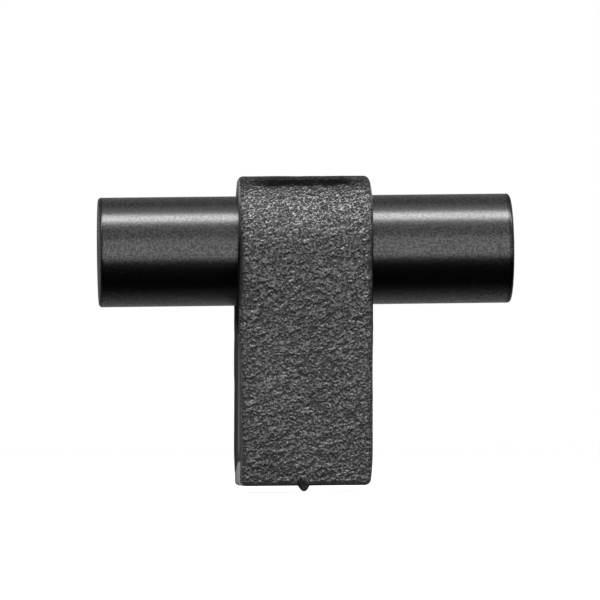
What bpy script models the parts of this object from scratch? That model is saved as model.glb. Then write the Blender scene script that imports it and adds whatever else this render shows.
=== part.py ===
"""A cabinet knob: a round bar held across the end of a square post, with a leather strap folded over both.

Units are metres and +Z is up. The origin is the centre of the base, at the mouth of the fixing screw's hole.
+Z points away from the cabinet front, and +X runs along the bar.
"""

import math

import bmesh
import bpy

# Bar
BAR_DIAMETER = 0.0130
BAR_LENGTH = 0.0490
BAR_EDGE_RADIUS = 0.00040
BAR_AXIS_HEIGHT = 0.0279

# Leather strap
STRAP_WIDTH = 0.0155
STRAP_THICKNESS = 0.00205
STRAP_EDGE_RADIUS = 0.00050

# Gap that the glue fills between the leather and the metal, and between the bar and its saddle
GLUE_GAP = 0.0003

# Post
POST_SIDE_INSET = 0.0001
POST_CORNER_RADIUS = 0.00050
HORN_THICKNESS = 0.0008

# Joining stud, and its holes in the post and in the bar
STUD_DIAMETER = 0.0050
STUD_LENGTH = 0.0120
STUD_IN_BAR = 0.0055
STUD_CHAMFER = 0.0004
STUD_HEX_FLATS = 0.0025
STUD_HEX_DEPTH = 0.0025
STUD_CLEARANCE = 0.0003
STUD_END_SPACE = 0.0005

# Fixing screw's tapped hole in the base
SCREW_HOLE_DIAMETER = 0.0033
SCREW_HOLE_DEPTH = 0.0090
SCREW_MOUTH_DIAMETER = 0.0046
SCREW_MOUTH_DEPTH = 0.0006
DRILL_POINT_ANGLE = math.radians(118)

# Pip under the base, which bites into the cabinet front and keeps the knob from turning
PIP_ROOT_DIAMETER = 0.00164
PIP_NOSE_RADIUS = 0.00048
PIP_HEIGHT = 0.00084
PIP_EDGE_MARGIN = 0.00005
PIP_SIDE_OFFSET = -0.00035
NOTCH_WIDTH = 0.00110
NOTCH_HEIGHT = 0.00045

# Facets
BAR_STEPS = 96
HOLE_STEPS = 32
PIP_STEPS = 24
WRAP_STEPS = 64
ARC_POINTS = 5

# Distances that only keep a cut or a joint clean
OVERRUN = 0.001
MERGE = 0.00001
SMOOTH_ANGLE = math.radians(30)

BAR_RADIUS = BAR_DIAMETER / 2
SADDLE_RADIUS = BAR_RADIUS + GLUE_GAP
POST_DEPTH = BAR_DIAMETER
POST_WIDTH = STRAP_WIDTH - 2 * POST_SIDE_INSET


def clear_scene():
    for obj in list(bpy.data.objects):
        bpy.data.objects.remove(obj, do_unlink=True)


def new_collection(name):
    collection = bpy.data.collections.new(name)
    bpy.context.scene.collection.children.link(collection)
    return collection


def metal(name, color, roughness):
    return material(name, color, roughness, 1.0)


def coated(name, color, roughness):
    return material(name, color, roughness, 0.0)


def material(name, color, roughness, metallic):
    made = bpy.data.materials.new(name)
    made.use_nodes = True
    shader = made.node_tree.nodes["Principled BSDF"]
    shader.inputs["Base Color"].default_value = (*color, 1.0)
    shader.inputs["Roughness"].default_value = roughness
    shader.inputs["Metallic"].default_value = metallic
    return made


def add_object(name, mesh, collection, look=None):
    obj = bpy.data.objects.new(name, mesh)
    collection.objects.link(obj)
    if look:
        mesh.materials.append(look)
    return obj


def add_cutter(name, mesh, collection):
    obj = add_object(name, mesh, collection)
    obj.hide_render = True
    obj.display_type = "WIRE"
    return obj


def outline_mesh(name, points):
    """An open line of edges through the points, which lie in the XZ plane as (distance from the axis, height)."""
    mesh = bpy.data.meshes.new(name)
    edges = [(i, i + 1) for i in range(len(points) - 1)]
    mesh.from_pydata([(r, 0, z) for r, z in points], edges, [])
    return mesh


def turn(obj, steps):
    """Spins the object's outline round Z into a closed solid."""
    screw = obj.modifiers.new("Turn", "SCREW")
    screw.axis = "Z"
    screw.angle = math.tau
    screw.steps = steps
    screw.render_steps = steps
    screw.use_merge_vertices = True
    screw.merge_threshold = MERGE
    screw.use_smooth_shade = True


def cut(obj, cutter, name):
    """Takes the cutter away from the object, as its last modifier."""
    boolean = obj.modifiers.new(name, "BOOLEAN")
    boolean.operation = "DIFFERENCE"
    boolean.solver = "EXACT"
    boolean.object = cutter


def join(obj, other, name):
    """Adds the other solid to the object, as its last modifier."""
    boolean = obj.modifiers.new(name, "BOOLEAN")
    boolean.operation = "UNION"
    boolean.solver = "EXACT"
    boolean.object = other


def round_edges(obj, width, segments):
    bevel = obj.modifiers.new("Rounded edges", "BEVEL")
    bevel.width = width
    bevel.segments = segments
    bevel.limit_method = "ANGLE"
    bevel.angle_limit = math.radians(40)


def arc(center, radius, start, end, points=ARC_POINTS):
    """Points on an arc from the start angle to the end angle, both ends included."""
    angles = (start + (end - start) * i / (points - 1) for i in range(points))
    return [(center[0] + radius * math.cos(a), center[1] + radius * math.sin(a)) for a in angles]


def drilled_outline(radius, depth, mouth):
    """Outline of a drilled hole's space, top to bottom: flat mouth, straight wall and the drill's cone.

    Height 0 is the surface that the hole starts from, and the hole runs down from it.
    """
    point_depth = radius / math.tan(DRILL_POINT_ANGLE / 2)
    return [(0, mouth), (radius, mouth), (radius, -depth), (0, -depth - point_depth)]


def make_bar(parts, cutters, look):
    """The turned bar, with a blind hole in its underside for the stud."""
    half = BAR_LENGTH / 2
    edge = min(BAR_EDGE_RADIUS, BAR_RADIUS / 2, half / 2)
    top = arc((BAR_RADIUS - edge, half - edge), edge, math.pi / 2, 0)
    bottom = arc((BAR_RADIUS - edge, edge - half), edge, 0, -math.pi / 2)
    bar = add_object("bar", outline_mesh("bar", [(0, half), *top, *bottom, (0, -half)]), parts, look)
    turn(bar, BAR_STEPS)
    bar.rotation_euler = (0, math.pi / 2, 0)
    bar.location = (0, 0, BAR_AXIS_HEIGHT)

    depth = STUD_IN_BAR + STUD_END_SPACE
    outline = drilled_outline(STUD_DIAMETER / 2 + STUD_CLEARANCE, depth, OVERRUN)
    hole = add_cutter("bar_stud_hole", outline_mesh("bar_stud_hole", outline), cutters)
    turn(hole, HOLE_STEPS)
    hole.rotation_euler = (math.pi, 0, 0)
    hole.location = (0, 0, BAR_AXIS_HEIGHT - BAR_RADIUS)
    cut(bar, hole, "Stud hole")
    return bar


def post_height():
    """Height of the horn tips, where the wall beside the saddle is as thin as HORN_THICKNESS."""
    half_gap = POST_DEPTH / 2 - HORN_THICKNESS
    return BAR_AXIS_HEIGHT - math.sqrt(SADDLE_RADIUS**2 - half_gap**2)


def block_mesh(name, width, depth, height):
    """A box standing on the origin."""
    mesh = bpy.data.meshes.new(name)
    shape = bmesh.new()
    bmesh.ops.create_cube(shape, size=1)
    bmesh.ops.translate(shape, verts=shape.verts, vec=(0, 0, 0.5))
    bmesh.ops.scale(shape, verts=shape.verts, vec=(width, depth, height))
    shape.to_mesh(mesh)
    shape.free()
    return mesh


def make_post(parts, cutters, look):
    """The cast post: a block with a saddle for the bar, two tapped holes and the pip under its base."""
    post = add_object("post", block_mesh("post", POST_WIDTH, POST_DEPTH, post_height()), parts, look)
    round_edges(post, POST_CORNER_RADIUS, 3)
    cut(post, saddle_cutter(cutters), "Saddle")
    cut(post, post_stud_hole(cutters), "Stud hole")
    cut(post, screw_hole(cutters), "Screw hole")
    join(post, pip(cutters), "Pip")
    return post


def saddle_cutter(cutters):
    """The bar's round seat across the top of the post."""
    half = POST_WIDTH / 2 + OVERRUN
    outline = [(0, half), (SADDLE_RADIUS, half), (SADDLE_RADIUS, -half), (0, -half)]
    saddle = add_cutter("saddle", outline_mesh("saddle", outline), cutters)
    turn(saddle, BAR_STEPS)
    saddle.rotation_euler = (0, math.pi / 2, 0)
    saddle.location = (0, 0, BAR_AXIS_HEIGHT)
    return saddle


def post_stud_hole(cutters):
    """The stud's blind hole, drilled down from the lowest line of the saddle."""
    depth = STUD_LENGTH - STUD_IN_BAR - GLUE_GAP + STUD_END_SPACE
    outline = drilled_outline(STUD_DIAMETER / 2 + STUD_CLEARANCE, depth, BAR_RADIUS)
    hole = add_cutter("post_stud_hole", outline_mesh("post_stud_hole", outline), cutters)
    turn(hole, HOLE_STEPS)
    hole.location = (0, 0, BAR_AXIS_HEIGHT - SADDLE_RADIUS)
    return hole


def screw_hole(cutters):
    """The fixing screw's blind hole, drilled up from the base, with a countersunk mouth."""
    radius = SCREW_HOLE_DIAMETER / 2
    mouth = SCREW_MOUTH_DIAMETER / 2
    slope = (mouth - radius) / SCREW_MOUTH_DEPTH
    outline = drilled_outline(radius, SCREW_HOLE_DEPTH, OVERRUN)
    outline[1:2] = [(mouth + slope * OVERRUN, OVERRUN), (radius, -SCREW_MOUTH_DEPTH)]
    hole = add_cutter("screw_hole", outline_mesh("screw_hole", outline), cutters)
    turn(hole, HOLE_STEPS)
    hole.rotation_euler = (math.pi, 0, 0)
    return hole


def pip_center_y():
    """The pip stands on the flat of the base, just behind the rounded front edge."""
    front_of_flat = POST_DEPTH / 2 - POST_CORNER_RADIUS
    return PIP_EDGE_MARGIN + PIP_ROOT_DIAMETER / 2 - front_of_flat


def pip(cutters):
    """A small cone that ends in a ball nose. Its sides run tangent into the nose."""
    root = PIP_ROOT_DIAMETER / 2
    nose_height = PIP_HEIGHT - PIP_NOSE_RADIUS
    reach = math.hypot(root, nose_height)
    tangent = math.atan2(nose_height, root) - math.acos(PIP_NOSE_RADIUS / reach)
    nose = arc((0, -nose_height), PIP_NOSE_RADIUS, tangent, -math.pi / 2)
    outline = [(0, OVERRUN), (root, OVERRUN), (root, 0), *nose]
    peg = add_cutter("pip", outline_mesh("pip", outline), cutters)
    turn(peg, PIP_STEPS)
    peg.location = (PIP_SIDE_OFFSET, pip_center_y(), 0)
    return peg


def strap_path():
    """The inner line of the strap in the YZ plane: up the front, half round the bar, and down the back."""
    reach = SADDLE_RADIUS
    turn_points = arc((0, BAR_AXIS_HEIGHT), reach, math.pi, 0, WRAP_STEPS + 1)
    return [(-reach, 0), *turn_points, (reach, 0)]


def ribbon_mesh(name, path, width):
    """An open strip of faces along the path, as wide as the strap."""
    mesh = bpy.data.meshes.new(name)
    shape = bmesh.new()
    line = [shape.verts.new((-width / 2, y, z)) for y, z in path]
    edges = [shape.edges.new(pair) for pair in zip(line, line[1:])]
    swept = bmesh.ops.extrude_edge_only(shape, edges=edges)["geom"]
    moved = [item for item in swept if isinstance(item, bmesh.types.BMVert)]
    bmesh.ops.translate(shape, verts=moved, vec=(width, 0, 0))
    bmesh.ops.recalc_face_normals(shape, faces=shape.faces)
    shape.to_mesh(mesh)
    shape.free()
    return mesh


def make_strap(parts, cutters, look):
    """The leather strip, folded over the bar, with a small notch in its front hem over the pip."""
    strap = add_object("leather_strap", ribbon_mesh("leather_strap", strap_path(), STRAP_WIDTH), parts, look)
    wall = strap.modifiers.new("Leather thickness", "SOLIDIFY")
    wall.thickness = STRAP_THICKNESS
    wall.offset = 1
    wall.use_even_offset = True
    round_edges(strap, STRAP_EDGE_RADIUS, 3)

    cut(strap, hem_notch(cutters), "Hem notch")
    return strap


def hem_notch(cutters):
    """A slot with a round top, cut through the front tail from its hem."""
    radius = NOTCH_WIDTH / 2
    top = NOTCH_HEIGHT - radius
    foot = min(top, 0) - OVERRUN
    outline = bpy.data.curves.new("hem_notch", "CURVE")
    outline.dimensions = "2D"
    outline.fill_mode = "BOTH"
    outline.extrude = STRAP_THICKNESS
    spline = outline.splines.new("POLY")
    points = [(-radius, foot), (radius, foot), *arc((0, top), radius, 0, math.pi, PIP_STEPS // 2 + 1)]
    spline.points.add(len(points) - 1)
    for point, (x, z) in zip(spline.points, points):
        point.co = (x, z, 0, 1)
    spline.use_cyclic_u = True
    flat = bpy.data.objects.new("hem_notch", outline)
    cutters.objects.link(flat)
    flat.rotation_euler = (math.pi / 2, 0, 0)
    flat.location = (PIP_SIDE_OFFSET, -SADDLE_RADIUS - STRAP_THICKNESS / 2, 0)
    return as_mesh(flat, cutters)


def as_mesh(curve, cutters):
    """A closed mesh in place of a curve object, with its loose caps welded on."""
    bpy.context.view_layer.update()
    depsgraph = bpy.context.evaluated_depsgraph_get()
    mesh = bpy.data.meshes.new_from_object(curve.evaluated_get(depsgraph))
    shape = bmesh.new()
    shape.from_mesh(mesh)
    bmesh.ops.remove_doubles(shape, verts=shape.verts, dist=MERGE)
    bmesh.ops.recalc_face_normals(shape, faces=shape.faces)
    shape.to_mesh(mesh)
    shape.free()
    place = curve.matrix_world.copy()
    name = curve.name
    bpy.data.objects.remove(curve, do_unlink=True)
    solid = add_cutter(name, mesh, cutters)
    solid.matrix_world = place
    return solid


def make_stud(parts, cutters, look):
    """The headless stud that joins the bar to the post, with a hexagonal socket in its lower end."""
    radius = STUD_DIAMETER / 2
    inner = radius - STUD_CHAMFER
    half = STUD_LENGTH / 2
    shoulder = half - STUD_CHAMFER
    outline = [(0, half), (inner, half), (radius, shoulder), (radius, -shoulder), (inner, -half), (0, -half)]
    stud = add_object("joining_stud", outline_mesh("joining_stud", outline), parts, look)
    turn(stud, HOLE_STEPS)
    stud.location = (0, 0, BAR_AXIS_HEIGHT - BAR_RADIUS + STUD_IN_BAR - half)

    socket = add_cutter("hex_socket", bpy.data.meshes.new("hex_socket"), cutters)
    shape = bmesh.new()
    corner = STUD_HEX_FLATS / math.sqrt(3)
    bmesh.ops.create_cone(
        shape, cap_ends=True, segments=6, radius1=corner, radius2=corner, depth=2 * STUD_HEX_DEPTH
    )
    shape.to_mesh(socket.data)
    shape.free()
    socket.location = (0, 0, stud.location.z - half)
    cut(stud, socket, "Hex socket")
    return stud


def shade(obj):
    """Bakes the modifiers' result into the mesh and shades it smooth, with its sharp edges kept."""
    depsgraph = bpy.context.evaluated_depsgraph_get()
    mesh = bpy.data.meshes.new_from_object(obj.evaluated_get(depsgraph))
    obj.modifiers.clear()
    obj.data = mesh
    mesh.name = obj.name
    mesh.shade_smooth()
    mesh.set_sharp_from_angle(angle=SMOOTH_ANGLE)


def build():
    clear_scene()
    parts = new_collection("cabinet_knob")
    cutters = new_collection("cutters")
    made = [
        make_post(parts, cutters, coated("black_casting", (0.025, 0.025, 0.026), 0.45)),
        make_bar(parts, cutters, coated("satin_black", (0.010, 0.010, 0.010), 0.32)),
        make_stud(parts, cutters, metal("zinc_plated_steel", (0.60, 0.60, 0.58), 0.35)),
        make_strap(parts, cutters, coated("black_leather", (0.020, 0.019, 0.019), 0.55)),
    ]
    for obj in made:
        shade(obj)


build()
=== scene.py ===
# %% [markdown]
# # A leather-wrapped cabinet knob
# The real knob is a short satin black bar, laid across the end of a square metal post. A strip of
# grained black leather is folded over the bar and glued down both faces of the post. This lesson
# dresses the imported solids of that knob: it lights them as a product photographer would, turns a
# finer bar, folds a leather strap with Geometry Nodes, and paints every surface with nodes alone.

# %% Load the frame
import math

import bmesh
import bpy
from mathutils import Matrix, Vector


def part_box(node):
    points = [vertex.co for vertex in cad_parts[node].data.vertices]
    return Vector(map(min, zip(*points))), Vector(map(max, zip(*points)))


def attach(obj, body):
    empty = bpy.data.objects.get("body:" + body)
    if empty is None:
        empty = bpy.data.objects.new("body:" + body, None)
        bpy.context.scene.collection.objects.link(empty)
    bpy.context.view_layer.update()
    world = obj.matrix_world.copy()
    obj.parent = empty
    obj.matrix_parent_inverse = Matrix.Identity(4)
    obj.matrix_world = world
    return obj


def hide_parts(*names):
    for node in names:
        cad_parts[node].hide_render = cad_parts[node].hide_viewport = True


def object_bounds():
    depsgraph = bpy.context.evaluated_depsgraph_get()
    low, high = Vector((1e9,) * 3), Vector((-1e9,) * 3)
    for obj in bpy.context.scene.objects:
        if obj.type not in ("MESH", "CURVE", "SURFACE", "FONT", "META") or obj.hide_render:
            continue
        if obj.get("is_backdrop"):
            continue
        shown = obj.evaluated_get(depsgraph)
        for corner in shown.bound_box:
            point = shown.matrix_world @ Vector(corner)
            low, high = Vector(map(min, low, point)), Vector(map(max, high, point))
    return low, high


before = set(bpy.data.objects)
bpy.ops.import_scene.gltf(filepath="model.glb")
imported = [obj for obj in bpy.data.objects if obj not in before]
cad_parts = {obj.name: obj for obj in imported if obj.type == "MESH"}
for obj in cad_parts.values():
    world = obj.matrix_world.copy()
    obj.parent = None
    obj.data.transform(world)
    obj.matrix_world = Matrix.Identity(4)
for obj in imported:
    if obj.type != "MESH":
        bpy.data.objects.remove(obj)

cad_low, cad_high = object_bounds()
print("nodes:", sorted(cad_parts))
print("solids' box, mm:", [round(1000 * v, 2) for v in (*cad_low, *cad_high)])

# %% [markdown]
# ## Sizes come from the solids
# Nothing is measured twice. The bar's box gives its radius, length and height above the base, and
# the strap's box gives its width and how far it stands off the bar. Between the leather and the metal
# lies a thin film of glue. Everything later is worked out from these few numbers.

# %% Read the driving sizes
MM = 0.001
GLUE_FILM = 0.04 * MM

bar_low, bar_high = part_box("bar")
strap_low, strap_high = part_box("leather_strap")
bar_radius = (bar_high.z - bar_low.z) / 2
bar_length = bar_high.x - bar_low.x
axis_height = (bar_high.z + bar_low.z) / 2
strap_width = strap_high.x - strap_low.x
wrap_radius = strap_high.z - axis_height
inner_radius = bar_radius + GLUE_FILM
leather_thickness = wrap_radius - inner_radius
print(f"bar {2000 * bar_radius:.2f} x {1000 * bar_length:.2f} mm, axis {1000 * axis_height:.2f} mm up")
print(f"strap {1000 * strap_width:.2f} mm wide, {1000 * leather_thickness:.2f} mm thick")

# %% [markdown]
# ## Nodes written as sums
# A shader or a Geometry Nodes tree is easier to read as arithmetic than as a list of links. One
# small class stands for a socket. Adding, multiplying or raising it adds the Math node for that
# step, so `1 - mask` is a node too. A second class makes any other node from its type, its
# settings and its inputs.

# %% A socket that does sums
class Wire:
    """An output socket of a node tree."""

    def __init__(self, graph, socket):
        self.graph = graph
        self.socket = socket

    def math(self, operation, *values):
        inputs = dict(enumerate(values))
        return self.graph.node("ShaderNodeMath", {"operation": operation}, inputs)

    def __add__(self, other):
        return self.math("ADD", self, other)

    def __sub__(self, other):
        return self.math("SUBTRACT", self, other)

    def __rsub__(self, other):
        return self.math("SUBTRACT", other, self)

    def __mul__(self, other):
        return self.math("MULTIPLY", self, other)

    def __truediv__(self, other):
        return self.math("DIVIDE", self, other)

    def __rtruediv__(self, other):
        return self.math("DIVIDE", other, self)

    def __pow__(self, other):
        return self.math("POWER", self, other)

    def __neg__(self):
        return self.math("MULTIPLY", self, -1)

    __radd__ = __add__
    __rmul__ = __mul__

    def sin(self):
        return self.math("SINE", self)

    def cos(self):
        return self.math("COSINE", self)

    def root(self):
        return self.math("SQRT", self)

    def sign(self):
        return self.math("SIGN", self)

    def fraction(self):
        return self.math("FRACT", self)

    def above(self, limit):
        return self.math("GREATER_THAN", self, limit)

    def least(self, other):
        return self.math("MINIMUM", self, other)

    def clip(self, low=0, high=1):
        return self.math("MAXIMUM", self, low).least(high)

    def step(self, start, end):
        """0 below start, 1 above end, and a smooth ramp between them."""
        return self.graph.node(
            "ShaderNodeMapRange",
            {"interpolation_type": "SMOOTHSTEP"},
            {"Value": self, "From Min": start, "From Max": end},
        )

    def band(self, start, full, fading, end):
        """1 from full to fading, and 0 before start and after end."""
        return self.step(start, full) * (1 - self.step(fading, end))

    def hump(self, middle, reach):
        """1 at the middle, and smoothly down to 0 at this reach on either side."""
        off = (self - middle) / reach
        return (1 - off * off).clip() ** 2


# %% A graph that makes nodes
class Graph:
    """A node tree of either kind."""

    def __init__(self, tree):
        self.tree = tree

    def node(self, kind, settings=None, inputs=None, out=0):
        made = self.tree.nodes.new(kind)
        for name, value in (settings or {}).items():
            setattr(made, name, value)
        for name, value in (inputs or {}).items():
            if isinstance(value, Wire):
                self.tree.links.new(value.socket, made.inputs[name])
            else:
                made.inputs[name].default_value = value
        return Wire(self, made.outputs[out]) if made.outputs else made

    def other(self, wire, out):
        """Another output of the node that this wire comes from."""
        return Wire(self, wire.socket.node.outputs[out])

    def vector(self, x, y, z):
        return self.node("ShaderNodeCombineXYZ", {}, {"X": x, "Y": y, "Z": z})

    def parts(self, vector):
        first = self.node("ShaderNodeSeparateXYZ", {}, {"Vector": vector}, "X")
        return first, self.other(first, "Y"), self.other(first, "Z")

    def turned(self, vector, angle, scale):
        """The vector turned about Z and then stretched, for a pattern with a direction."""
        turn = {"rotation_type": "Z_AXIS"}
        spun = self.node("ShaderNodeVectorRotate", turn, {"Vector": vector, "Angle": angle})
        return self.node("ShaderNodeVectorMath", {"operation": "MULTIPLY"}, {0: spun, 1: scale})

    def noise(self, vector, scale, detail=2.0, roughness=0.5, distortion=0.0):
        pattern = {"Scale": scale, "Detail": detail, "Roughness": roughness, "Distortion": distortion}
        return self.node("ShaderNodeTexNoise", {}, {"Vector": vector, **pattern})

    def bump(self, height, depth):
        """A normal that is tilted as if the surface had this height, times a depth in metres."""
        return self.node("ShaderNodeBump", {}, {"Strength": 1.0, "Distance": depth, "Height": height})


# %% [markdown]
# ## The camera and the studio
# The photograph is nearly square on, from about three quarters of a metre away with a long lens. The
# left end of the bar is a little nearer, so a sliver of its end face and of the post's side shows. The
# base line runs level across the side of the foot, so the camera stands only a few millimetres above
# the base and looks up a little. A camera could be aimed by rotating it by hand. Here its three axes
# are worked out as vectors, because then each named size below stays something to measure in a photo.

# %% Camera
CAMERA_DISTANCE = 0.750
CAMERA_HEIGHT = 5.0 * MM
CAMERA_YAW = math.radians(3.60)
CAMERA_ROLL = math.radians(0.50)
PIXELS_PER_MM = 8.420
FRAME_PIXELS = 600
SENSOR = 36.0
BAR_RIGHT_OF_CENTER = 0.57 * MM
BAR_ABOVE_CENTER = 5.90 * MM

bar_center = Vector((0, 0, axis_height))
right = Vector((math.cos(CAMERA_YAW), -math.sin(CAMERA_YAW), 0))
ahead = Vector((math.sin(CAMERA_YAW), math.cos(CAMERA_YAW), 0))
aim = bar_center - right * BAR_RIGHT_OF_CENTER - Vector((0, 0, BAR_ABOVE_CENTER))
stand = aim - ahead * CAMERA_DISTANCE
stand.z = CAMERA_HEIGHT
forward = (aim - stand).normalized()

camera_data = bpy.data.cameras.new("camera")
camera_data.sensor_width = SENSOR
camera_data.lens = SENSOR * PIXELS_PER_MM / MM * CAMERA_DISTANCE / FRAME_PIXELS
camera_data.clip_start = 0.01
camera_data.clip_end = 50
camera = bpy.data.objects.new("camera", camera_data)
bpy.context.scene.collection.objects.link(camera)
square = Matrix((right, right.cross(forward), -forward)).transposed()
camera.matrix_world = (
    Matrix.Translation(stand)
    @ square.to_4x4()
    @ Matrix.Rotation(CAMERA_ROLL, 4, "Z").inverted()
)
bpy.context.scene.camera = camera
bpy.context.scene.view_settings.view_transform = "Standard"
print(f"lens {camera_data.lens:.1f} mm, camera at {[round(1000 * v, 1) for v in camera.location]} mm")

# %% [markdown]
# ## Light that draws a black cylinder
# A black bar has almost no colour of its own. What shows is what it mirrors: a bright band from a
# strip light nearly overhead, a mid grey field from a soft light round the camera, a black zone from
# a black card that lies in front of the knob, and pale rims from the white room behind. The card is
# seen in reflections only. The world is white to the camera and to glossy rays, and a plain grey to
# diffuse ones, so that the object isn't lit more than the lamps light it. A picture of a studio round
# the scene could give such reflections too. Lamps and cards were chosen because each has its own
# place and size, and can be moved until its edge on the bar lies where the photograph has it.

# %% World
ROOM_LIGHT = 0.45


def shown_directly(graph):
    """1 where the camera sees a surface, also in a mirror or through glass, and 0 for diffuse light."""
    seen = graph.node("ShaderNodeLightPath", {}, {}, "Is Camera Ray")
    return (seen + graph.other(seen, "Is Glossy Ray") + graph.other(seen, "Is Transmission Ray")).clip()


world = bpy.data.worlds.new("white_room")
world.use_nodes = True
world.node_tree.nodes.clear()
g = Graph(world.node_tree)
room_strength = shown_directly(g) * (1 - ROOM_LIGHT) + ROOM_LIGHT
background = g.node("ShaderNodeBackground", {}, {"Color": (1, 1, 1, 1), "Strength": room_strength})
g.node("ShaderNodeOutputWorld", {}, {"Surface": background})
bpy.context.scene.world = world
print("light from the room, as a share of the white that the camera sees:", ROOM_LIGHT)


# %% Lamps
def area_lamp(name, low, high, distance, width, radiance):
    """A soft light in front of the knob, between two elevations in degrees.

    Its brightness is the radiance of its face, which is what the bar mirrors.
    """
    middle = math.radians((low + high) / 2)
    depth = 2 * distance * math.tan(math.radians(high - low) / 2)
    data = bpy.data.lights.new(name, "AREA")
    data.shape = "RECTANGLE"
    data.size, data.size_y = width, depth
    data.energy = radiance * math.pi * width * depth
    lamp = bpy.data.objects.new(name, data)
    bpy.context.scene.collection.objects.link(lamp)
    across = Vector((1, 0, 0))
    toward = Vector((0, -math.cos(middle), math.sin(middle)))
    lamp.location = bar_center + toward * distance
    lamp.rotation_euler = Matrix((across, toward.cross(across), toward)).transposed().to_euler()
    lamp.visible_camera = False
    place = [round(v, 3) for v in lamp.location]
    print(f"{name}: {data.energy:.2f} W, {width:.2f} x {depth:.2f} m, at {place} m")


area_lamp("strip_light", low=64.0, high=81.2, distance=0.40, width=0.90, radiance=14.2)
area_lamp("front_light", low=-4.0, high=25.6, distance=0.60, width=1.00, radiance=1.38)

# %% [markdown]
# ## Floor and cards
# The knob stands on a pale floor. Lit by the lamps alone it would fade to grey at its far side. So
# to the camera the floor glows almost white by itself, and the small part of its light that comes
# from the lamps keeps a soft shadow under the knob. The cards are seen in
# reflections only: a sheet on the table that goes from white in front, through black under the knob,
# to grey behind, and a grey screen behind that curls over the top.

# %% Helpers for stage pieces
def plain_material(name):
    made = bpy.data.materials.new(name)
    made.use_nodes = True
    made.node_tree.nodes.clear()
    return made, Graph(made.node_tree)


def show(graph, shader):
    graph.node("ShaderNodeOutputMaterial", {}, {"Surface": shader})


def tone(value):
    """A grey from one number, or a colour from three."""
    return (value, value, value, 1) if isinstance(value, float) else (*value, 1)


def mixed(graph, share, first, second):
    """The first shader where the share is 0, and the second where it is 1."""
    return graph.node("ShaderNodeMixShader", {}, {0: share, 1: first, 2: second})


def object_place(graph):
    return graph.node("ShaderNodeTexCoord", {}, {}, "Object")


def stage_sheet(name, width, profile, look):
    """A sheet of one width along X that follows a profile of (y, z) points."""
    shape = bmesh.new()
    rows = [[shape.verts.new((x, y, z)) for x in (-width / 2, width / 2)] for y, z in profile]
    for first, second in zip(rows, rows[1:]):
        shape.faces.new((*first, *reversed(second)))
    mesh = bpy.data.meshes.new(name)
    shape.to_mesh(mesh)
    shape.free()
    mesh.materials.append(look)
    made = bpy.data.objects.new(name, mesh)
    bpy.context.scene.collection.objects.link(made)
    made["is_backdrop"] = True
    return made


def show_in_reflections_only(sheet):
    sheet.visible_camera = False
    sheet.visible_diffuse = False
    sheet.visible_shadow = False
    sheet.visible_transmission = False


# %% Floor
FLOOR_SIZE = 16.0
FLOOR_GLOW = 0.86
FLOOR_LIT_SHARE = 0.30
FLOOR_BOUNCE = 0.8

floor_height = cad_low.z
floor_look, g = plain_material("pale_floor")
glow = g.node("ShaderNodeEmission", {}, {"Strength": FLOOR_GLOW})
lit = g.node("ShaderNodeBsdfDiffuse", {}, {"Color": tone(FLOOR_LIT_SHARE)})
seen_floor = g.node("ShaderNodeAddShader", {}, {0: glow, 1: lit})
bounce = g.node("ShaderNodeBsdfDiffuse", {}, {"Color": tone(FLOOR_BOUNCE)})
show(g, mixed(g, shown_directly(g), bounce, seen_floor))
floor_profile = ((-FLOOR_SIZE / 2, floor_height), (FLOOR_SIZE / 2, floor_height))
floor = stage_sheet("floor", FLOOR_SIZE, floor_profile, floor_look)
print(f"{floor.name} at {1000 * floor_height:.2f} mm, under the pip")

# %% Cards
WHITE_CARD = 2.6
GREY_CARD = 0.40
CARD_WIDTH = 0.60
CARD_LIFT = 0.05 * MM

card_height = floor_height + CARD_LIFT
card_look, g = plain_material("graded_card")
_, y, _ = g.parts(object_place(g))
white_part = 1 - y.step(-105 * MM, -80 * MM)
grey_part = y.step(-10 * MM, 16 * MM)
card_glow = white_part * WHITE_CARD + grey_part * GREY_CARD
show(g, g.node("ShaderNodeEmission", {}, {"Strength": card_glow}))
card_profile = ((-600 * MM, card_height), (300 * MM, card_height))
table_card = stage_sheet("table_card", CARD_WIDTH, card_profile, card_look)
show_in_reflections_only(table_card)

screen_look, g = plain_material("grey_screen_cloth")
show(g, g.node("ShaderNodeEmission", {}, {"Strength": GREY_CARD}))
screen_profile = ((300 * MM, card_height), (300 * MM, 450 * MM), (120 * MM, 450 * MM))
screen = stage_sheet("grey_screen", CARD_WIDTH, screen_profile, screen_look)
show_in_reflections_only(screen)
print(f"cards: {table_card.name} and {screen.name}, {1000 * CARD_WIDTH:.0f} mm wide")


# %% [markdown]
# ## The bar
# A lathe turns the real bar and rounds its two end edges, and it is then coated satin black. A
# cylinder with a bevel would do for it. Here half its outline is spun in many steps instead, so that
# the radius of the edges is a named size and the band of light along the bar stays straight and clean.
# In the photograph the bar sits a hair out of level. A tipped bar reaches further to its sides, so it
# is shortened by as much to stay in the solids' box.

# %% Turn the bar
BAR_STEPS = 256
EDGE_STEPS = 8
BAR_EDGE = 0.40 * MM
BAR_TILT = math.radians(0.24)
SHARP_EDGE = math.radians(40)
SAME_PLACE = 1e-6


def add_piece(name, mesh, replaced):
    made = bpy.data.objects.new(name, mesh)
    bpy.context.scene.collection.objects.link(made)
    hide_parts(replaced)
    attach(made, "root")
    return made


def bar_outline():
    """Half the bar's outline, from the middle of one end to the middle of the other."""
    half = bar_length / 2 - bar_radius * math.sin(BAR_TILT)
    end = [(half, 0)]
    for i in range(EDGE_STEPS + 1):
        angle = math.pi / 2 * i / EDGE_STEPS
        x = half - BAR_EDGE + BAR_EDGE * math.cos(angle)
        end.append((x, bar_radius - BAR_EDGE + BAR_EDGE * math.sin(angle)))
    return [*end, *((-x, r) for x, r in reversed(end))]


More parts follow.
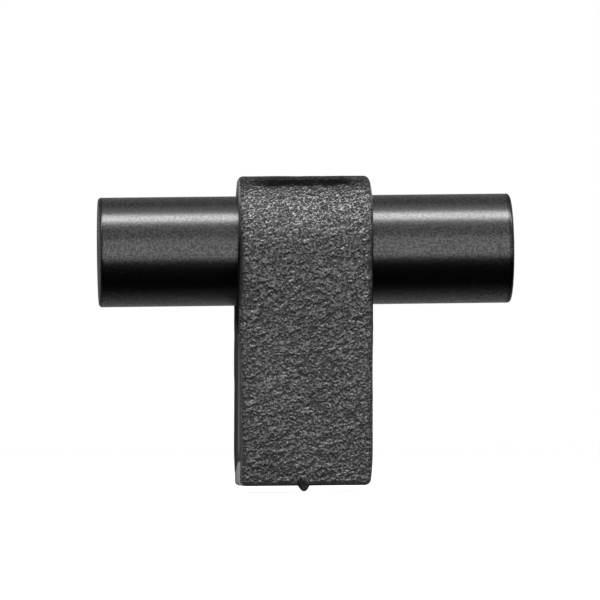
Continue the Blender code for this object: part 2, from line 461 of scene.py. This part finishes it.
def turned_bar():
    shape = bmesh.new()
    line = [shape.verts.new((x, 0, axis_height + r)) for x, r in bar_outline()]
    edges = [shape.edges.new(pair) for pair in zip(line, line[1:])]
    lathe = {"cent": bar_center, "axis": (1, 0, 0), "angle": math.tau, "steps": BAR_STEPS}
    bmesh.ops.spin(shape, geom=[*line, *edges], use_merge=True, **lathe)
    bmesh.ops.remove_doubles(shape, verts=shape.verts, dist=SAME_PLACE)
    bmesh.ops.recalc_face_normals(shape, faces=shape.faces)
    tipped = Matrix.Rotation(-BAR_TILT, 3, "Y")
    bmesh.ops.rotate(shape, verts=shape.verts, cent=bar_center, matrix=tipped)
    mesh = bpy.data.meshes.new("turned_bar")
    shape.to_mesh(mesh)
    shape.free()
    mesh.shade_smooth()
    mesh.set_sharp_from_angle(angle=SHARP_EDGE)
    return mesh


bar = add_piece("turned_bar", turned_bar(), "bar")
print("bar faces:", len(bar.data.polygons))

# %% [markdown]
# ## The bar's coating
# Seen close, a satin coating is a crowd of tiny specks, some glossy and some dull, on a skin that is
# almost smooth. One shader with a bump could show them, but a bump strong enough to be seen breaks up
# the band of light. So two shaders, a shiny one and a dull one, are mixed by a fine noise instead.
#
# Two things here are matched to one photograph and are not known of the real coating. It is duller
# just inside each end, because the photograph has a thin dark line there. And its specks are fainter
# in a stripe at the height of the light band, where the photograph is smooth. Under other lights that
# stripe may show, and both can be left out.

# %% Helpers for finishes
def two_tones(graph, factor, first, second):
    """The first colour where the factor is 0, and the second where it is 1. Either may be a wire."""
    colors = [value if isinstance(value, Wire) else tone(value) for value in (first, second)]
    inputs = {0: factor, 6: colors[0], 7: colors[1]}
    return graph.node("ShaderNodeMix", {"data_type": "RGBA"}, inputs, 2)


def finish(graph, **inputs):
    """A Principled shader. An input is named as on the node, with _ for each space."""
    named = {key.replace("_", " "): value for key, value in inputs.items()}
    return graph.node("ShaderNodeBsdfPrincipled", {}, named)


def tell(look):
    print(f"{look.name}: {len(look.node_tree.nodes)} nodes")


# %% Satin black coating
COATING = 0.0006
SKIN_SCALE = 4400
SKIN_DEPTH = 0.003 * MM
SPECK_SCALE = 4200
SPECK_SHARE = 0.48
BAND_SPECK_SHARE = 0.18
BAND_DULL_SHARE = 0.15
END_DULL_SHARE = 0.50

bar_look, g = plain_material("satin_black_coating")
place = object_place(g)
x, _, z = g.parts(place)
skin = g.bump(g.noise(place, SKIN_SCALE, 0.0), SKIN_DEPTH)
cloudy = g.noise(place, 120, 3.0) * 0.05 + 0.235
shiny = finish(g, Base_Color=tone(COATING), Normal=skin, Roughness=cloudy, IOR=1.66)
dull = finish(g, Base_Color=tone(COATING), Normal=skin, Roughness=0.7, Specular_IOR_Level=0.0)

# The sliver of the left end face is in part a little glossier than the rounded edge beside it.
from_left, from_right = x + bar_length / 2, bar_length / 2 - x
at_left = 0.35 + from_left.step(0.005 * MM, 0.03 * MM) * 0.65
at_left = at_left * (1 - from_left.step(0.25 * MM, 0.50 * MM))
at_right = from_right.band(0.04 * MM, 0.22 * MM, 0.48 * MM, 0.74 * MM)
at_end = at_left + at_right

# The specks are fainter in the stripe that mirrors the strip light in the photograph.
up = z - axis_height
in_band = up.band(2.2 * MM, 3.4 * MM, 4.5 * MM, 5.5 * MM)
specks = 1 - g.noise(place, SPECK_SCALE, 1.0, 0.7).step(0.40, 0.60)
fainter = in_band * (SPECK_SHARE - BAND_SPECK_SHARE)
dull_share = specks * (SPECK_SHARE - fainter) + in_band * BAND_DULL_SHARE
dull_share = dull_share * (1 - at_end * END_DULL_SHARE) + at_end * END_DULL_SHARE
show(g, mixed(g, dull_share, shiny, dull))
bar.data.materials.append(bar_look)
tell(bar_look)

# %% [markdown]
# ## The leather's grain
# Black leather shows its grain by small glints on the tips and dark creases between them. Real grain
# has several sizes at once: short packed worms, low mounds under them, and broad soft folds that run
# across the hide at a slant. It could be sculpted or come from a scanned picture. Three noises, one
# for each size, need no file and can be tuned one by one. The same function raises the mesh a little
# in Geometry Nodes and drives the bump and the gloss in the shader, so that the three agree.

# %% The grain, as one function for both kinds of tree
GRAIN_ANGLE = math.radians(-24)
WORM_SCALE = 3750
MOUND_SCALE = 1500
FOLD_SCALE = 750
WORM_PART, MOUND_PART, FOLD_PART = 0.41, 0.36, 0.23


def fine_worms(graph, place):
    """The fine part of the grain, from 0 to 1: short worms, closely packed."""
    slanted = graph.turned(place, GRAIN_ANGLE, (1.0, 0.95, 1))
    return graph.noise(slanted, WORM_SCALE, 0.0, 0.5, 0.3).step(0.15, 0.85)


def grain_height(graph, place):
    """Height of the whole grain, from 0 in a crease to 1 on a tip: fine worms on mounds on folds."""
    mounds = graph.noise(graph.turned(place, GRAIN_ANGLE, (0.7, 1.25, 1)), MOUND_SCALE, 0.0, 0.5, 0.3)
    folds = graph.noise(graph.turned(place, GRAIN_ANGLE, (0.6, 1.3, 1)), FOLD_SCALE, 1.0)
    fine = fine_worms(graph, place) * WORM_PART + mounds.step(0.2, 0.8) * MOUND_PART
    return fine + folds.step(0.25, 0.75) * FOLD_PART


# %% [markdown]
# ## The strap
# The strip of leather goes up the front of the post, half round the bar, and down the back. A long
# box could be bent round the bar, or a section swept along a curve. But the shape follows one rule, a
# rounded flat section that runs along a U, so Geometry Nodes make it from sums. The tree starts from
# a plain capped tube. One number counts round the tube and becomes the place on the section's
# outline. The other counts along the tube and becomes the place on the U.
#
# A strap that is cut and glued by hand is never quite true. Each tail has its own small shift and
# lean. The front one swells out to the left where it is pinched under the bar, is a little wider on
# its shoulders, and narrows by a hair toward its hem. Each of these is an input of the tree.

# %% The tree's inputs
NUMBER = "NodeSocketFloat"
COUNT = "NodeSocketInt"
MATERIAL = "NodeSocketMaterial"
STRAP_INPUTS = {
    "Tail height": NUMBER,
    "Inner radius": NUMBER,
    "Thickness": NUMBER,
    "Width": NUMBER,
    "Edge radius": NUMBER,
    "Points around": COUNT,
    "Points along": COUNT,
    "Front share": NUMBER,
    "Crest shift": NUMBER,
    "Front shift": NUMBER,
    "Front lean": NUMBER,
    "Front flare": NUMBER,
    "Front taper": NUMBER,
    "Left bulge": NUMBER,
    "Left pinch": NUMBER,
    "Left shoulder": NUMBER,
    "Right shoulder": NUMBER,
    "Back shift": NUMBER,
    "Back lean": NUMBER,
    "Hem taper": NUMBER,
    "Notch place": NUMBER,
    "Notch width": NUMBER,
    "Notch height": NUMBER,
    "Edge wander": NUMBER,
    "Swell": NUMBER,
    "Grain depth": NUMBER,
    "Leather": MATERIAL,
    "Cut edge": MATERIAL,
}


def new_geometry_tree(name, inputs):
    tree = bpy.data.node_groups.new(name, "GeometryNodeTree")
    tree.interface.new_socket("Geometry", in_out="OUTPUT", socket_type="NodeSocketGeometry")
    for label, kind in inputs.items():
        tree.interface.new_socket(label, in_out="INPUT", socket_type=kind)
    return tree


print("inputs of the strap's tree:", len(STRAP_INPUTS))


# %% Round the section
# The cut edge gives way to the face within these shares of the rounded corner.
CORNER_FADE = (0.30, 0.45)


def section_place(value, turn):
    """Place on the section's outline: up the left edge, across the face, and down the right edge.

    Gives the distance across the strap, the distance out from its inner face, and how much the point
    belongs to a cut side.
    """
    thick, width, edge = value["Thickness"], value["Width"], value["Edge radius"]
    around = value["Points around"]
    wall = thick - edge
    corner = edge * (math.pi / 2)
    face = width - edge * 2
    girth = wall * 2 + corner * 2 + face
    q = turn * around / (around - 1) * girth
    first = ((q - wall) / edge).clip(0, math.pi / 2)
    flat = (q - wall - corner).clip(0, face)
    second = ((q - wall - corner - face) / edge).clip(0, math.pi / 2)
    down = (q - wall - corner * 2 - face).clip(0, wall)
    across = flat - width / 2 + edge * (1 - first.cos()) + edge * second.sin()
    out = q.clip(0, wall) + edge * first.sin() - edge * (1 - second.cos()) - down
    fade_from, fade_to = (wall + corner * share for share in CORNER_FADE)
    cut_side = 1 - q.least(girth - q).step(fade_from, fade_to)
    return across, out, cut_side


# %% Along the U
def length_place(value, row):
    """Place on the U: up the front tail, half round the bar, and down the back tail.

    Gives the distance along the strap, the angle round the bar, the height up a tail and the whole
    length. The half that faces the camera gets the larger share of the points.
    """
    height = value["Tail height"]
    outer = value["Inner radius"] + value["Thickness"]
    half_turn = outer * math.pi
    total = height * 2 + half_turn
    share = value["Front share"]
    s = ((row / share).clip() + ((row - share) / (1 - share)).clip()) * 0.5 * total
    angle = ((s - height) / outer).clip(0, math.pi)
    rise = s.least(height) - (s - height - half_turn).clip(0, height)
    return s, angle, rise, total


# %% Finish the hems
# Shares of a tail's height: how far up a hem narrows, and where the notch in the front one ends.
TAPER_REACH = 0.16
NOTCH_ENDS = (0.02, 0.05)


def finish_hems(value, across, out, side, s, total):
    """Round and narrow both hems, and push the front one up into a small round notch.

    The front hem narrows at its right side only, as in the photograph.
    """
    thick, width, edge = value["Thickness"], value["Width"], value["Edge radius"]
    height = value["Tail height"]
    end = s.least(total - s)
    short = edge - end.least(edge)
    inset = edge - (edge * edge - short * short).clip(0, 1).root()
    drawn_in = (1 - end / (height * TAPER_REACH)).clip() ** 2 * value["Hem taper"]
    on_back = s.above(total * 0.5)
    across = across * (1 - inset * 2 / width) - drawn_in * side.clip() + drawn_in * (-side).clip() * on_back
    out = thick / 2 + (out - thick / 2) * (1 - inset * 2 / thick)
    off_notch = (across - value["Notch place"]) / value["Notch width"] * 2
    in_front = 1 - s.step(*(height * share for share in NOTCH_ENDS))
    lift = (1 - off_notch * off_notch).clip().root() * value["Notch height"] * in_front
    return across, out, lift


# %% Glue it down by hand
# Places along the strap, as shares of a tail's height. The bar begins at 1, where the tail ends.
UNDER_BAR, UNDER_BAR_REACH = 0.81, 0.32
SHOULDER, SHOULDER_REACH = 1.25, 0.35
PINCH = (0.56, 0.62, 0.70, 0.90)


def glued_by_hand(value, across, side, s, angle, rise):
    """The small shifts, leans and swellings of a strap that is glued down by hand."""
    height = value["Tail height"]
    back_part = angle / math.pi
    on_tail = 1 - angle.sin()
    low_part = 1 - rise / height
    flare = (value["Front flare"] * on_tail - value["Front taper"] * low_part) * (1 - back_part)
    front = value["Front shift"] * on_tail + value["Front lean"] * low_part
    back = value["Back shift"] * on_tail + value["Back lean"] * low_part
    under_bar = s.hump(height * UNDER_BAR, height * UNDER_BAR_REACH)
    pinched = s.band(*(height * share for share in PINCH))
    shoulder = s.hump(height * SHOULDER, height * SHOULDER_REACH)
    left = under_bar * value["Left bulge"] + pinched * value["Left pinch"] + shoulder * value["Left shoulder"]
    right = shoulder * value["Right shoulder"]
    across = across * (1 + flare / value["Width"]) - left * (-side).clip() + right * side.clip()
    return across + front * (1 - back_part) + back * back_part + value["Crest shift"]


# %% The tree
WANDER_SCALE = 260
SWELL_SCALE = 330


def kept_on_points(g, geometry, name, kind, value):
    """Store a value on every point under a name, before the points move."""
    settings = {"data_type": kind, "domain": "POINT"}
    inputs = {"Geometry": geometry, "Name": name, "Value": value}
    return g.node("GeometryNodeStoreNamedAttribute", settings, inputs)


def read_back(g, name, kind):
    return g.node("GeometryNodeInputNamedAttribute", {"data_type": kind}, {"Name": name})


def strap_tree():
    tree = new_geometry_tree("folded_strap", STRAP_INPUTS)
    g = Graph(tree)
    given = tree.nodes.new("NodeGroupInput")
    value = {label: Wire(g, given.outputs[label]) for label in STRAP_INPUTS}
    size = {"Vertices": value["Points around"], "Side Segments": value["Points along"]}
    tube = g.node("GeometryNodeMeshCylinder", {"fill_type": "NGON"}, {**size, "Radius": 1.0, "Depth": 2.0})
    x, y, z = g.parts(g.node("GeometryNodeInputPosition"))
    turn = (x.math("ARCTAN2", y, x) / math.tau + 1).fraction()

    across, out, cut_side = section_place(value, turn)
    s, angle, rise, total = length_place(value, (z + 1) * 0.5)
    side = across / value["Width"] * 2
    across, out, lift = finish_hems(value, across, out, side, s, total)

    # A knife never cuts quite straight, and a hide is never quite even.
    strap_place = g.vector(across, s, out)
    edge_noise = g.noise(g.vector(side.sign() * 0.01, s, 0.0), WANDER_SCALE, 2.0)
    across = across + side ** 3 * (edge_noise - 0.5) * value["Edge wander"]
    across = glued_by_hand(value, across, side, s, angle, rise)
    swell = (g.noise(strap_place, SWELL_SCALE, 2.0) - 0.5) * value["Swell"]
    radius = value["Inner radius"] + out + swell * (out / value["Thickness"])
    bent = g.vector(across, -(radius * angle.cos()), rise + lift + radius * angle.sin())

    kept = kept_on_points(g, tube, "strap_place", "FLOAT_VECTOR", strap_place)
    kept = kept_on_points(g, kept, "cut_side", "FLOAT", cut_side)
    shaped = g.node("GeometryNodeSetPosition", {}, {"Geometry": kept, "Position": bent})

    # The grain stands out along the normals, and fades out on the cut edges.
    cut_again = read_back(g, "cut_side", "FLOAT")
    height = grain_height(g, read_back(g, "strap_place", "FLOAT_VECTOR"))
    depth = (height - 1) * (1 - cut_again) * value["Grain depth"]
    normal = g.node("GeometryNodeInputNormal")
    push = g.node("ShaderNodeVectorMath", {"operation": "SCALE"}, {0: normal, "Scale": depth})
    grained = g.node("GeometryNodeSetPosition", {}, {"Geometry": shaped, "Offset": push})
    smooth = g.node("GeometryNodeSetShadeSmooth", {}, {"Geometry": grained})
    real = g.node("GeometryNodeRealizeInstances", {}, {"Geometry": smooth})
    faced = g.node("GeometryNodeSetMaterial", {}, {"Geometry": real, "Material": value["Leather"]})
    edged = {"Geometry": faced, "Selection": cut_again.above(0.5), "Material": value["Cut edge"]}
    g.node("NodeGroupOutput", {}, {"Geometry": g.node("GeometryNodeSetMaterial", {}, edged)})
    return tree


# %% [markdown]
# ## The leather's finish
# The tips of the grain carry a thin gloss and the creases none. One shader whose roughness follows
# the grain would leave a grey sheen in the creases, so here too a glossy and a dull shader are mixed,
# this time by the height of the grain. Both finishes read the strap's own unfolded place, so that the
# pattern follows the leather round the bar.
#
# Some zones are painted light and shade, matched to the tones of one photograph because these
# lamps alone didn't give them: painted shade over the front of the crest and on the sides of the
# face, painted light on the hide toward the foot, and on the cut edges painted light in an arch over
# the crest and painted shade in the corner under the bar. They stay put when the lamps move.

# %% Where the leather gets painted shade
def strap_place_in(graph):
    return graph.node("ShaderNodeAttribute", {"attribute_name": "strap_place"}, {}, "Vector")


leather, g = plain_material("black_grained_leather")
place = strap_place_in(g)
x, y, z = g.parts(object_place(g))

# Painted shade over the crest has ragged limits, and is faint toward the two sides of the face.
ragged = z + (g.noise(place, 700, 2.0) - 0.5) * (0.6 * MM)
torn = x + (g.noise(place, 800, 2.0) - 0.5) * (5.0 * MM)
middle = torn.band(-8.2 * MM, -4.4 * MM, 4.2 * MM, 7.8 * MM)
on_top = z.step(axis_height + 8.10 * MM, axis_height + 8.45 * MM)
in_front = 1 - y.step(-2.5 * MM, 3.5 * MM)
crest = ragged.step(axis_height + 7.10 * MM, axis_height + 7.70 * MM)
crest = crest * (0.25 + middle * 0.75) * (1 - on_top * 0.38) * in_front

# Painted shade on the rims of the face, darkest beside the bar.
across, _, _ = g.parts(place)
half = strap_width / 2
left_rim = 1 - across.step(0.15 * MM - half, 1.00 * MM - half)
right_rim = across.step(half - 0.80 * MM, half - 0.10 * MM)
up = z - axis_height
beside_bar = up.band(-8.5 * MM, -5.5 * MM, 0.8 * MM, 4.4 * MM)
high = up.step(0, 4.0 * MM)
rim = left_rim * (0.32 + beside_bar * 0.66 - high * 0.16) + right_rim * (0.30 + beside_bar * 0.30)

# %% Leather finish
RELIEF_DEPTH = 0.215 * MM
PORE_SCALE = 8000
PORE_PART = 0.08
LEAST_GLOSS = 0.20

height = grain_height(g, place)
worms = fine_worms(g, place)
relief = g.bump(height + g.noise(place, PORE_SCALE, 1.0) * PORE_PART, RELIEF_DEPTH)
low = 1 - up.step(-14 * MM, -5 * MM)  # painted light, lighter toward the foot
patches = g.noise(place, 210, 3.0).step(0.35, 0.7)
# The hide's colour: random patches, and painted light toward the foot.
hide_and_painted_light = two_tones(g, patches * 0.50 + low * 0.50, 0.011, (0.036, 0.0355, 0.035))
# The creases' colour, darker still under the painted shade over the crest.
dark = two_tones(g, crest, 0.012, 0.004)
tip = finish(g, Base_Color=hide_and_painted_light, Roughness=0.27, IOR=1.73, Normal=relief)
crease = finish(g, Base_Color=dark, Roughness=0.9, Specular_IOR_Level=0.0, Normal=relief)
on_tip = LEAST_GLOSS + (worms * 0.6 + height * 0.4).step(0.20, 0.95) * (1 - LEAST_GLOSS)
# Painted shade on the rims and over the crest takes the gloss away.
on_tip = on_tip * (1 - rim) * (1 - (crest * (1.22 - height * 0.45)).clip())
show(g, mixed(g, on_tip, crease, tip))
tell(leather)

# %% Cut edge finish
FIBRE_SCALE = 5200
FIBRE_DEPTH = 0.05 * MM
MOTTLE_SCALE = 3000

cut_edge, g = plain_material("dyed_cut_edge")
place = strap_place_in(g)
_, _, z = g.parts(object_place(g))
up = z - axis_height
fibres = g.noise(g.turned(place, 0, (1, 0.4, 1)), FIBRE_SCALE, 2.0)
mottle = g.noise(g.turned(place, 0, (1, 1, 0.2)), MOTTLE_SCALE, 1.0)
over_crest = up.step(4.5 * MM, 6.5 * MM)
painted_corner_shade = up.band(-11.5 * MM, -8.5 * MM, 0, 4.0 * MM)
dyed = two_tones(g, fibres.step(0.35, 0.65), 0.022, 0.055)
# Painted shade in the corner under the bar.
shaded = two_tones(g, painted_corner_shade, dyed, 0.003)
# Painted light on the cut edges over the crest.
pale = two_tones(g, mottle.step(0.3, 0.7), 0.06, 0.21)
edge_color = two_tones(g, over_crest, shaded, pale)
fuzz = g.bump(fibres, FIBRE_DEPTH)
show(g, finish(g, Base_Color=edge_color, Roughness=0.8, Specular_IOR_Level=0.0, Normal=fuzz))
tell(cut_edge)

# %% [markdown]
# ## Folding it
# The tree now runs once, on a mesh that is thrown away, and its result is kept as a plain mesh. A
# live modifier would do as well in Blender, but a plain mesh can be measured, exported and replaced
# like any other piece. The sizes come from the solids, and what a hand did to the strap comes from
# the photograph.

# %% Fold the strap
def run_tree(name, tree, inputs):
    """The plain mesh that a tree makes with these inputs."""
    carrier = bpy.data.objects.new(name, bpy.data.meshes.new(name))
    bpy.context.scene.collection.objects.link(carrier)
    modifier = carrier.modifiers.new(name, "NODES")
    modifier.node_group = tree
    for item in tree.interface.items_tree:
        if item.in_out == "INPUT" and item.name in inputs:
            modifier[item.identifier] = inputs[item.name]
    bpy.context.view_layer.update()
    depsgraph = bpy.context.evaluated_depsgraph_get()
    mesh = bpy.data.meshes.new_from_object(carrier.evaluated_get(depsgraph))
    bpy.data.objects.remove(carrier)
    mesh.name = name
    return mesh


strap_values = {
    "Tail height": axis_height,
    "Inner radius": inner_radius,
    "Thickness": leather_thickness,
    "Width": strap_width,
    "Edge radius": 0.60 * MM,
    "Points around": 150,
    "Points along": 640,
    "Front share": 0.64,
    "Crest shift": -0.10 * MM,
    "Front shift": -0.18 * MM,
    "Front lean": -0.18 * MM,
    "Front flare": 0.22 * MM,
    "Front taper": 0.22 * MM,
    "Left bulge": 0.14 * MM,
    "Left pinch": 0.22 * MM,
    "Left shoulder": 0.10 * MM,
    "Right shoulder": 0.10 * MM,
    "Back shift": -0.05 * MM,
    "Back lean": -0.30 * MM,
    "Hem taper": 0.28 * MM,
    "Notch place": -0.68 * MM,
    "Notch width": 1.00 * MM,
    "Notch height": 0.45 * MM,
    "Edge wander": 0.16 * MM,
    "Swell": 0.06 * MM,
    "Grain depth": 0.05 * MM,
    "Leather": leather,
    "Cut edge": cut_edge,
}
strap_mesh = run_tree("folded_strap", strap_tree(), strap_values)
strap = add_piece("folded_strap", strap_mesh, "leather_strap")
strap_corners = [round(1000 * c, 2) for corner in (0, 6) for c in strap.bound_box[corner]]
print("strap triangles:", sum(len(p.vertices) - 2 for p in strap_mesh.polygons))
print("strap box, mm:", strap_corners)

# %% [markdown]
# ## The post
# The post is a black casting. Only a narrow band of its left side shows between the two tails. It
# could be modelled again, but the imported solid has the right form, so a merged copy of it stands for
# it. Its two sides follow the tails that are glued to it. Its flat faces stay flat and only its
# rounded edges are shaded smooth. The pip under its base gets the slimmer, rounder nose that the
# photograph shows.

# %% Shape the post
POST_SHIFT = -0.22 * MM
POST_LEAN = -0.32 * MM
POST_CORE = 6 * MM
POST_SHARP_EDGE = math.radians(35)
FLAT_FACE = 0.999
PIP_SHIFT = -0.24 * MM
PIP_REACH = 0.90 * MM
PIP_ROOT_WIDTH = 0.84
PIP_NOSE_WIDTH = 0.94
PIP_HEIGHT = 0.80
AT_BASE = 0.01 * MM


def round_pip(shape):
    """The pip as the photograph shows it: slimmer at its root, a little shorter, with a round nose."""
    pip = [vert.co for vert in shape.verts if vert.co.z < -AT_BASE]
    center = sum(pip, Vector()) / len(pip)
    center.z = 0
    for vert in shape.verts:
        flat = Vector((vert.co.x, vert.co.y, 0)) - center
        if vert.co.z < AT_BASE and flat.length < PIP_REACH:
            depth = vert.co.z / cad_low.z
            flat *= PIP_ROOT_WIDTH + (PIP_NOSE_WIDTH - PIP_ROOT_WIDTH) * depth
            vert.co = center + flat + Vector((PIP_SHIFT, 0, vert.co.z * PIP_HEIGHT))


def follow_tails(shape):
    """Lean the two sides of the post with the tails, and leave its core where it is."""
    for vert in shape.verts:
        lean = POST_SHIFT + POST_LEAN * (1 - vert.co.z / axis_height)
        vert.co.x += lean * min(1, abs(vert.co.x) / POST_CORE)


def cast_post():
    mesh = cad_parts["post"].data.copy()
    mesh.name = "cast_post"
    shape = bmesh.new()
    shape.from_mesh(mesh)
    bmesh.ops.remove_doubles(shape, verts=shape.verts, dist=SAME_PLACE)
    follow_tails(shape)
    round_pip(shape)
    shape.to_mesh(mesh)
    shape.free()
    mesh.materials.clear()
    mesh.shade_smooth()
    mesh.set_sharp_from_angle(angle=POST_SHARP_EDGE)
    for polygon in mesh.polygons:
        polygon.use_smooth = max(abs(part) for part in polygon.normal) < FLAT_FACE
    return mesh


post = add_piece("cast_post", cast_post(), "post")
print("post faces:", len(post.data.polygons))

# %% [markdown]
# ## The casting's coat
# The coat on the casting is a dull black, taken as a little lumpy. The photograph shows only a band
# a few pixels wide. In it the left side has a paler streak, painted reflection here, a paler foot,
# and painted shade that makes it nearly black in the corner under the bar. The pip is paler too. These
# could be masks painted by hand. Here each is a band in millimetres along one axis of the object, so
# that it can be read off the photograph. The right side is unseen, so it has neither streak nor foot.

# %% Cast coating
LEFT_FACE = (-7.6 * MM, -7.4 * MM)
PEEL_SCALE = 2600
PEEL_DEPTH = 0.01 * MM
FOOT_HEIGHT = 1.6 * MM
FOOT_RISE = 1.25 * MM
FOOT_BLUR = 0.15 * MM

post_look, g = plain_material("black_casting_coat")
place = object_place(g)
x, y, z = g.parts(place)
on_left = 1 - x.step(*LEFT_FACE)
# Painted reflection: a paler, mottled streak down the left side.
streak = y.band(-5.6 * MM, -2.8 * MM, -1.8 * MM, 1.0 * MM) * z.step(3.0 * MM, 4.6 * MM)
streak = streak * (1 - z.step(16.0 * MM, 18.5 * MM) * 0.35) * on_left
painted_reflection = (streak * (0.5 + g.noise(place, 1500, 2.0))).clip()
foot_top = FOOT_HEIGHT + y.step(6 * MM, -2 * MM) * FOOT_RISE
foot = (1 - z.step(foot_top - FOOT_BLUR, foot_top + FOOT_BLUR)) * on_left
# Painted shade in the corner under the bar.
painted_corner_shade = z.step(18.5 * MM, 21.5 * MM)
on_pip = 1 - z.step(-0.10 * MM, 0.0)

coat = two_tones(g, painted_reflection, 0.030, 0.085)
coat = two_tones(g, painted_corner_shade, coat, 0.006)
coat = two_tones(g, on_pip, coat, 0.11)
coat = two_tones(g, foot, coat, 0.19)
peel = g.bump(g.noise(place, PEEL_SCALE, 2.0), PEEL_DEPTH)
show(g, finish(g, Base_Color=coat, Roughness=0.7, Specular_IOR_Level=0.0, Normal=peel))
post.data.materials.append(post_look)
tell(post_look)

# %% [markdown]
# ## The stud
# No side of the knob shows the stud. It is how such a bar is usually joined to its post, and is taken
# as plated steel. It keeps its packed form, and one metal shader is enough for it.

# %% Plated stud
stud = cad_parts["joining_stud"]
stud_look, g = plain_material("plated_steel")
brushed = g.noise(object_place(g), 900) * 0.2 + 0.25
show(g, finish(g, Base_Color=tone((0.55, 0.55, 0.53)), Metallic=1.0, Roughness=brushed))
stud.data.materials.clear()
stud.data.materials.append(stud_look)
tell(stud_look)

# %% [markdown]
# ## Print the sizes and finish
# The visual model has to stay inside the solids' box. Its box is printed here, in the same form as the
# solids' box at the start.

# %% Finish
low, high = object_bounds()
print("visual box, mm:", [round(1000 * v, 2) for v in (*low, *high)])
